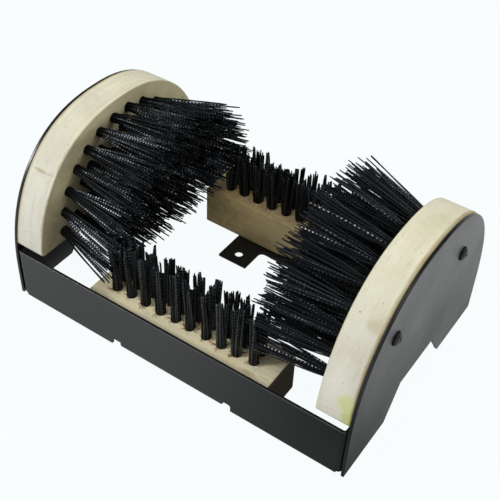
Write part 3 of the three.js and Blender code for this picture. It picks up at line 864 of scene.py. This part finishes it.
def endTree(geometry, material):
    smooth = geo("SetShadeSmooth", {0: geometry, 2: True})
    real = geo("RealizeInstances", {0: smooth})
    fedNode("NodeGroupOutput", {0: geo("SetMaterial", {0: real, 2: material})})


def here(tree):
    return addNode(tree, "GeometryNodeInputPosition").outputs[0]


def named(tree, name, kind="FLOAT"):
    return addNode(tree, "GeometryNodeInputNamedAttribute", {0: name}, data_type=kind).outputs[0]


def store(geometry, kind="FLOAT", **values):
    for name, value in values.items():
        inputs = {0: geometry, 2: name, 3: value}
        geometry = geo("StoreNamedAttribute", inputs, data_type=kind, domain="POINT")
    return geometry


def chances(seed):
    # Random values that all follow from the tree's one seed
    def chance(low, high, step):
        values = {2: low, 3: high, 8: calc("ADD", seed, float(step))}
        return fedNode("FunctionNodeRandomValue", values, data_type="FLOAT").outputs[1]
    return chance


def copiesOf(points, count):
    return fedNode("GeometryNodeDuplicateElements", {0: points, 2: count}, domain="POINT").outputs


def linesOn(points, length, count):
    # A straight line of so many points on each point
    ends = {0: (0, 0, 0), 1: (0, 0, length)}
    line = addNode(points.id_data, "GeometryNodeCurvePrimitiveLine", ends).outputs[0]
    lines = geo("InstanceOnPoints", {0: points, 2: geo("ResampleCurve", {0: line, 2: count})})
    return geo("RealizeInstances", {0: lines})


def tubesOn(lines, sides, radius, taper):
    section = geo("CurvePrimitiveCircle", {0: sides, 4: radius})
    return geo("CurveToMesh", {0: lines, 1: section, 2: taper, 3: True})


goldenAngle = 2.39996         # spreads the filaments of a tuft evenly
fullTurn = 6.283


def tuftTree():
    # From points with an aim and a reach to tufts of bent filaments
    tree = bpy.data.node_groups.new("tufts", "GeometryNodeTree")
    given = treeSockets(tree, ("Filaments", "Bends", "Clumps", "Seed"),
                        ("Filament radius", "Root radius", "Root depth", "Collar", "Tip spread",
                         "Spread power", "Wander", "Sag", "Uneven", "Gather", "Own way", "Strays", "Shine"))
    chance = chances(given["Seed"])

    # One point for each filament, which remembers its root, its length and its place in the tuft
    points = store(given["Geometry"], "FLOAT_VECTOR", root=here(tree))
    points = store(points, tuft=chance(0.0, 1.0, 1))
    copies = copiesOf(points, given["Filaments"])
    tuft = named(tree, "tuft")
    share = calc("DIVIDE", calc("ADD", copies[1], 0.5), given["Filaments"])
    angle = linear(copies[1], goldenAngle, product(tuft, fullTurn))
    sector = product(calc("FRACT", calc("DIVIDE", angle, fullTurn)), given["Clumps"])
    clump = calc("FLOOR", sector)
    toMiddle = calc("SUBTRACT", calc("ADD", clump, 0.5), sector)
    toMiddle = calc("DIVIDE", product(toMiddle, fullTurn), given["Clumps"])
    clumpAt = joined(clump, product(tuft, 91.0))
    tall = shade("TexWhiteNoise", {0: clumpAt}, noise_dimensions="3D")
    points = store(copies[0], ring=calc("SQRT", share), angle=angle,
                   tone=chance(0.0, 1.0, 2), extra=chance(-1.0, 1.0, 3), droop=chance(0.0, 1.0, 4),
                   clump=clump, toMiddle=toMiddle, clumpTall=linear(tall, 2.0, -1.0))
    lines = linesOn(points, 0.05, calc("ADD", given["Bends"], 1.0))

    # How far along its filament each point lies, from the bottom of the hole
    aim = named(tree, "aim", "FLOAT_VECTOR")
    uneven = mixValue(given["Gather"], named(tree, "extra"), named(tree, "clumpTall"))
    length = linear(uneven, given["Uneven"], named(tree, "reach"))
    length = calc("ADD", length, given["Root depth"])
    factor = addNode(tree, "GeometryNodeSplineParameter").outputs[0]
    along = product(factor, length)
    free, span = (calc("SUBTRACT", calc("SUBTRACT", part, given["Root depth"]), given["Collar"])
                  for part in (along, length))
    loose = calc("DIVIDE", calc("MAXIMUM", free, 0.0), span)
    onAim = vecScale(aim, along)
    sunk = vecScale(aim, given["Root depth"])
    spot = vecCalc("ADD", vecCalc("SUBTRACT", named(tree, "root", "FLOAT_VECTOR"), sunk), onAim)

    # Outwards from the middle of the tuft, gathered into clumps
    sideA = vecCalc("NORMALIZE", vecCalc("CROSS_PRODUCT", aim, (0.31, 0.92, -0.22)))
    sideB = vecCalc("CROSS_PRODUCT", aim, sideA)
    gathered = product(named(tree, "toMiddle"), given["Gather"], loose)
    bearing = calc("ADD", named(tree, "angle"), gathered)
    outward = vecCalc("ADD", vecScale(sideA, calc("COSINE", bearing)),
                      vecScale(sideB, calc("SINE", bearing)))
    ring = named(tree, "ring")
    tight = product(ring, given["Root radius"])
    wide = product(calc("POWER", ring, given["Strays"]), given["Tip spread"])
    width = mixValue(calc("POWER", loose, given["Spread power"]), tight, wide)
    spot = vecCalc("ADD", spot, vecScale(outward, width))

    # Astray by a noise of its own, and down by its weight
    bending = calc("POWER", loose, 1.25)
    own = linear(named(tree, "clump"), 7.7, product(tuft, 37.3))
    own = linear(named(tree, "tone"), given["Own way"], own)
    stray = noiseVector(vecScale(onAim, 8.0), 1.0, "4D", W=own, Detail=1.0)
    amount = product(bending, given["Wander"], 2.0)
    spot = vecCalc("ADD", spot, vecScale(stray, amount))
    droop = calc("POWER", named(tree, "droop"), 2.0)
    sag = product(bending, droop, given["Sag"], -1.0)
    spot = vecCalc("ADD", spot, joined(z=sag))
    moved = geo("SetPosition", {0: lines, 2: spot})
    moved = store(moved, along=product(along, 1000.0), shine=given["Shine"])
    taper = remap(factor, 0.93, 1.0, 1.0, 0.8)
    endTree(tubesOn(moved, 4, given["Filament radius"], taper), given["Material"])
    return tree


def grown(name, places, tree, sizes):
    # Runs a tree over the roots, which carry the aim and the reach of their tuft, and returns the mesh
    roots = bpy.data.meshes.new(name + "Roots")
    roots.from_pydata([root * mm for root, aim, reach in places], [], [])
    aims = roots.attributes.new("aim", "FLOAT_VECTOR", "POINT")
    aims.data.foreach_set("vector", [value for root, aim, reach in places for value in aim])
    reaches = roots.attributes.new("reach", "FLOAT", "POINT")
    reaches.data.foreach_set("value", [reach * mm for root, aim, reach in places])
    points = newPiece(name + "Roots", roots)
    shape = points.modifiers.new("shape", "NODES")
    shape.node_group = tree
    for item in tree.interface.items_tree:
        if item.in_out == "INPUT" and item.name in sizes:
            shape[item.identifier] = sizes[item.name]
    mesh = applied(points)
    mesh.name = name
    bpy.data.objects.remove(points)
    print(name, len(mesh.polygons), "faces")
    return mesh


bristleLook = blackBristle()
tufts = tuftTree()
toLeft = Vector((-1, 1, 1))
leftPlaces = [(root * toLeft, aim * toLeft, reach) for root, aim, reach in sideTuftPlaces(**leftWays)]
rearPlaces = turned(lowTuftPlaces(-lowTufts["shift"], **rearWays), 180)
for name, places, shape, node in (
        ("leftTufts", leftPlaces, sideShape, "left_bristles"),
        ("rightTufts", sideTuftPlaces(**rightWays), rightShape, "right_bristles"),
        ("frontTufts", lowTuftPlaces(lowTufts["shift"]), lowShape, "front_bristles"),
        ("rearTufts", rearPlaces, rearShape, "rear_bristles")):
    mesh = grown(name, places, tufts, dict(shape, Material=bristleLook))
    finishPiece(newPiece(name, mesh), "black_bristle", node)
print("bristles ready")


# Fibres torn up round the holes of the bottom blocks

tornShape = {
    "Hole radius": 3.9 * mm, "Longest": 5.5 * mm, "Lift": 1.9 * mm, "Curl": 2.6 * mm,
    "Thickness": 0.42 * mm, "Seed": 3,
}
tornLook = {
    "pale": (0.84, 0.74, 0.50, 1), "brown": (0.33, 0.17, 0.07, 1), "roughness": (0.6, 0.8),
    "patches": 260.0, "fine": 1900.0, "bump": 0.03 * mm,
}


def tornWood():
    material, shader, place = startMaterial("tornWood", 0.3)
    patches = remap(noise(place, tornLook["patches"]), 0.45, 0.52)
    fine = noise(place, tornLook["fine"])
    color = mixColor(patches, tornLook["pale"], tornLook["brown"])
    feed(shader, color, remap(fine, 0.3, 0.7, *tornLook["roughness"]), bump(fine, tornLook["bump"]))
    return material


def tornTree():
    # From the roots of the tufts to little curls of wood that lie round each hole
    tree = bpy.data.node_groups.new("tornFibres", "GeometryNodeTree")
    given = treeSockets(tree, ("Count", "Seed"), ("Hole radius", "Longest", "Lift", "Curl", "Thickness"))
    chance = chances(given["Seed"])
    points = store(given["Geometry"], "FLOAT_VECTOR", root=here(tree))
    points = store(copiesOf(points, given["Count"])[0], bearing=chance(0.0, fullTurn, 1),
                   size=chance(0.25, 1.0, 2), bend=chance(-1.0, 1.0, 3))
    lines = linesOn(points, 0.01, 7)
    size = named(tree, "size")
    factor = addNode(tree, "GeometryNodeSplineParameter").outputs[0]
    out = calc("ADD", product(factor, size, given["Longest"]), given["Hole radius"])
    curl = product(named(tree, "bend"), given["Curl"], calc("POWER", factor, 1.5))
    rise = product(calc("SINE", product(factor, 2.6)), given["Lift"], size)
    bearing = named(tree, "bearing")
    cosine = calc("COSINE", bearing)
    sine = calc("SINE", bearing)
    x = linear(cosine, out, product(sine, curl, -1.0))
    y = linear(sine, out, product(cosine, curl))
    spot = vecCalc("ADD", named(tree, "root", "FLOAT_VECTOR"), joined(x, y, rise))
    moved = geo("SetPosition", {0: lines, 2: spot})
    taper = remap(factor, 0.3, 1.0, 1.0, 0.35)
    endTree(tubesOn(moved, 3, given["Thickness"], taper), given["Material"])
    return tree


tornFinish = tornWood()
tornFibres = tornTree()
for name, turn, shift, count, node in (("frontTorn", 0, lowTufts["shift"], 11, "front_brush_block"),
                                       ("rearTorn", 180, -lowTufts["shift"], 3, "rear_brush_block")):
    sizes = dict(tornShape, Count=count, Material=tornFinish)
    mesh = grown(name, turned(lowTuftPlaces(shift), turn), tornFibres, sizes)
    finishPiece(newPiece(name, mesh), "pale_wood", node)
print("torn fibres ready")


# Screws

screwLook = {
    "color": (0.010, 0.010, 0.011, 1), "scuffed": (0.075, 0.076, 0.078, 1), "roughness": (0.22, 0.42),
    "patches": (700.0, 3.0), "scuffs": (1500.0, 2.0), "metal": 0.35, "bump": 0.01 * mm,
}
trussShape = {
    "Head radius": 5.5 * mm, "Head rim": 0.9 * mm, "Head height": 2.92 * mm, "Dome power": 3.4,
    "Recess length": 5.4 * mm, "Recess width": 1.15 * mm, "Recess depth": 1.7 * mm,
    "Shank radius": 2.3 * mm, "Shank length": 20.0 * mm, "Thread depth": 0.45 * mm,
    "Thread pitch": 1.9 * mm, "Point": 5.0 * mm, "Neck": 0.05 * mm,
}
sunkShape = dict(trussShape, **{
    "Head radius": 4.2 * mm, "Head rim": 0.25 * mm, "Head height": 0.25 * mm,
    "Recess length": 4.6 * mm, "Recess width": 1.0 * mm, "Shank radius": 2.15 * mm,
    "Shank length": 26.6 * mm, "Neck": 2.1 * mm,
})
screwSeat = {"plate": 150.2, "flange": 0.45}  # where the heads stand, in mm
headSides = 40


def blackScrew():
    material, shader, place = startMaterial("blackOxide", 0.5)
    shader.inputs["Metallic"].default_value = screwLook["metal"]
    patches = noise(place, *screwLook["patches"])
    scuffs = remap(noise(place, *screwLook["scuffs"]), 0.60, 0.78)
    color = paint(screwLook["color"], screwLook["scuffed"], scuffs, 0.6)
    roughness = remap(patches, 0.3, 0.7, *screwLook["roughness"])
    feed(shader, color, roughness, bump(patches, screwLook["bump"]))
    return material


def screwTree():
    # A domed or countersunk head with a cross recess over a threaded shank, at every point along its aim
    tree = bpy.data.node_groups.new("screws", "GeometryNodeTree")
    given = treeSockets(tree, (), tuple(trussShape))

    def cylinder(radius, depth, middle, sides, rings, fill):
        made = geo("MeshCylinder", {0: sides, 1: rings, 2: fill, 3: radius, 4: depth})
        return geo("Transform", {0: made, "Translation": joined(z=middle)})

    # The head stands on z = 0 and its top is drawn up into a dome
    halfRim = product(given["Head rim"], 0.5)
    head = cylinder(given["Head radius"], given["Head rim"], halfRim, headSides, 1, 7)
    apart = axes(here(tree))
    away = vecCalc("LENGTH", joined(apart[0], apart[1]))
    away = calc("MINIMUM", calc("DIVIDE", away, given["Head radius"]), 1.0)
    dome = calc("SUBTRACT", 1.0, calc("POWER", away, given["Dome power"]))
    dome = product(dome, calc("SUBTRACT", given["Head height"], given["Head rim"]))
    onTop = calc("GREATER_THAN", apart[2], halfRim)
    head = geo("SetPosition", {0: head, 1: onTop, 3: joined(z=dome)})

    # The neck is the cone under a countersunk head, and a mere washer under a domed one
    neck = geo("MeshCone", {0: headSides, 1: 1, 2: 1, 3: given["Head radius"],
                            4: given["Shank radius"], 5: given["Neck"]})
    neck = geo("Transform", {0: neck, "Rotation": (math.pi, 0, 0)})

    # The shank hangs below, cut by a helical thread and drawn to a point
    length = given["Shank length"]
    middle = calc("ADD", product(length, -0.5), 0.1 * mm)
    shank = cylinder(given["Shank radius"], length, middle, 18, 56, 1)
    at = here(tree)
    apart = axes(at)
    turn = calc("DIVIDE", calc("ARCTAN2", apart[1], apart[0]), 2 * math.pi)
    turn = calc("ADD", turn, calc("DIVIDE", apart[2], given["Thread pitch"]))
    wave = calc("ABSOLUTE", linear(calc("FRACT", turn), 2.0, -1.0))
    cut = calc("DIVIDE", product(wave, given["Thread depth"]), given["Shank radius"])
    point = calc("DIVIDE", calc("ADD", apart[2], length), given["Point"])
    point = calc("MAXIMUM", calc("MINIMUM", point, 1.0), 0.08)
    slim = product(calc("SUBTRACT", 1.0, cut), point)
    shank = geo("SetPosition", {0: shank, 2: vecCalc("MULTIPLY", at, joined(slim, slim, 1.0))})

    # The cross is cut out of the head
    whole = addNode(tree, "GeometryNodeMeshBoolean", operation="UNION", solver="EXACT")
    for part in (head, neck, shank):
        tree.links.new(part, whole.inputs["Mesh 2"])
    cross = addNode(tree, "GeometryNodeMeshBoolean", operation="DIFFERENCE", solver="EXACT")
    tree.links.new(whole.outputs[0], cross.inputs["Mesh 1"])
    deep = product(given["Recess depth"], 2.0)
    top = joined(z=given["Head height"])
    for first, second in (("Recess length", "Recess width"), ("Recess width", "Recess length")):
        size = joined(given[first], given[second], deep)
        arm = geo("Transform", {0: geo("MeshCube", {0: size}), "Translation": top})
        tree.links.new(arm, cross.inputs["Mesh 2"])

    # One at every point, with its shank along the aim and turned by the reach
    down = vecScale(named(tree, "aim", "FLOAT_VECTOR"), -1.0)
    facing = fedNode("FunctionNodeAlignRotationToVector", {2: down}, axis="Z").outputs[0]
    placed = geo("InstanceOnPoints", {0: given["Geometry"], 2: cross.outputs[0], 5: facing})
    spin = joined(z=product(named(tree, "reach"), 1000.0))
    placed = geo("RotateInstances", {0: placed, 2: spin})
    endTree(placed, given["Material"])
    return tree


screwFinish = blackScrew()
screws = screwTree()

# The root and aim of each screw, and its turn in place of a tuft's reach
trussPlaces = [
    (Vector((side * screwSeat["plate"], y, block["screwHeight"])), Vector((-side, 0, 0)), spin)
    for side, spins in ((1, (0.35, 1.1)), (-1, (0.8, 0.2))) for y, spin in zip(block["screwPlaces"], spins)
]
sunkPlaces = [
    (Vector((x, side * -lowBlock["centre"], screwSeat["flange"])), Vector((0, 0, 1)), 0.4 + 0.3 * x / 30)
    for side in (-1, 1) for x in lowBlock["screws"]
]
for name, places, sizes, nodes in (
        ("plateScrews", trussPlaces, trussShape, ("left_block_screw_front", "left_block_screw_rear",
                                                  "right_block_screw_front", "right_block_screw_rear")),
        ("flangeScrews", sunkPlaces, sunkShape, ("front_block_screw_left", "front_block_screw_right",
                                                 "rear_block_screw_left", "rear_block_screw_right"))):
    mesh = grown(name, places, screws, dict(sizes, Material=screwFinish))
    smoothFaces(mesh, 32)
    finishPiece(newPiece(name, mesh), "black_screw", *nodes)
print("screws ready")
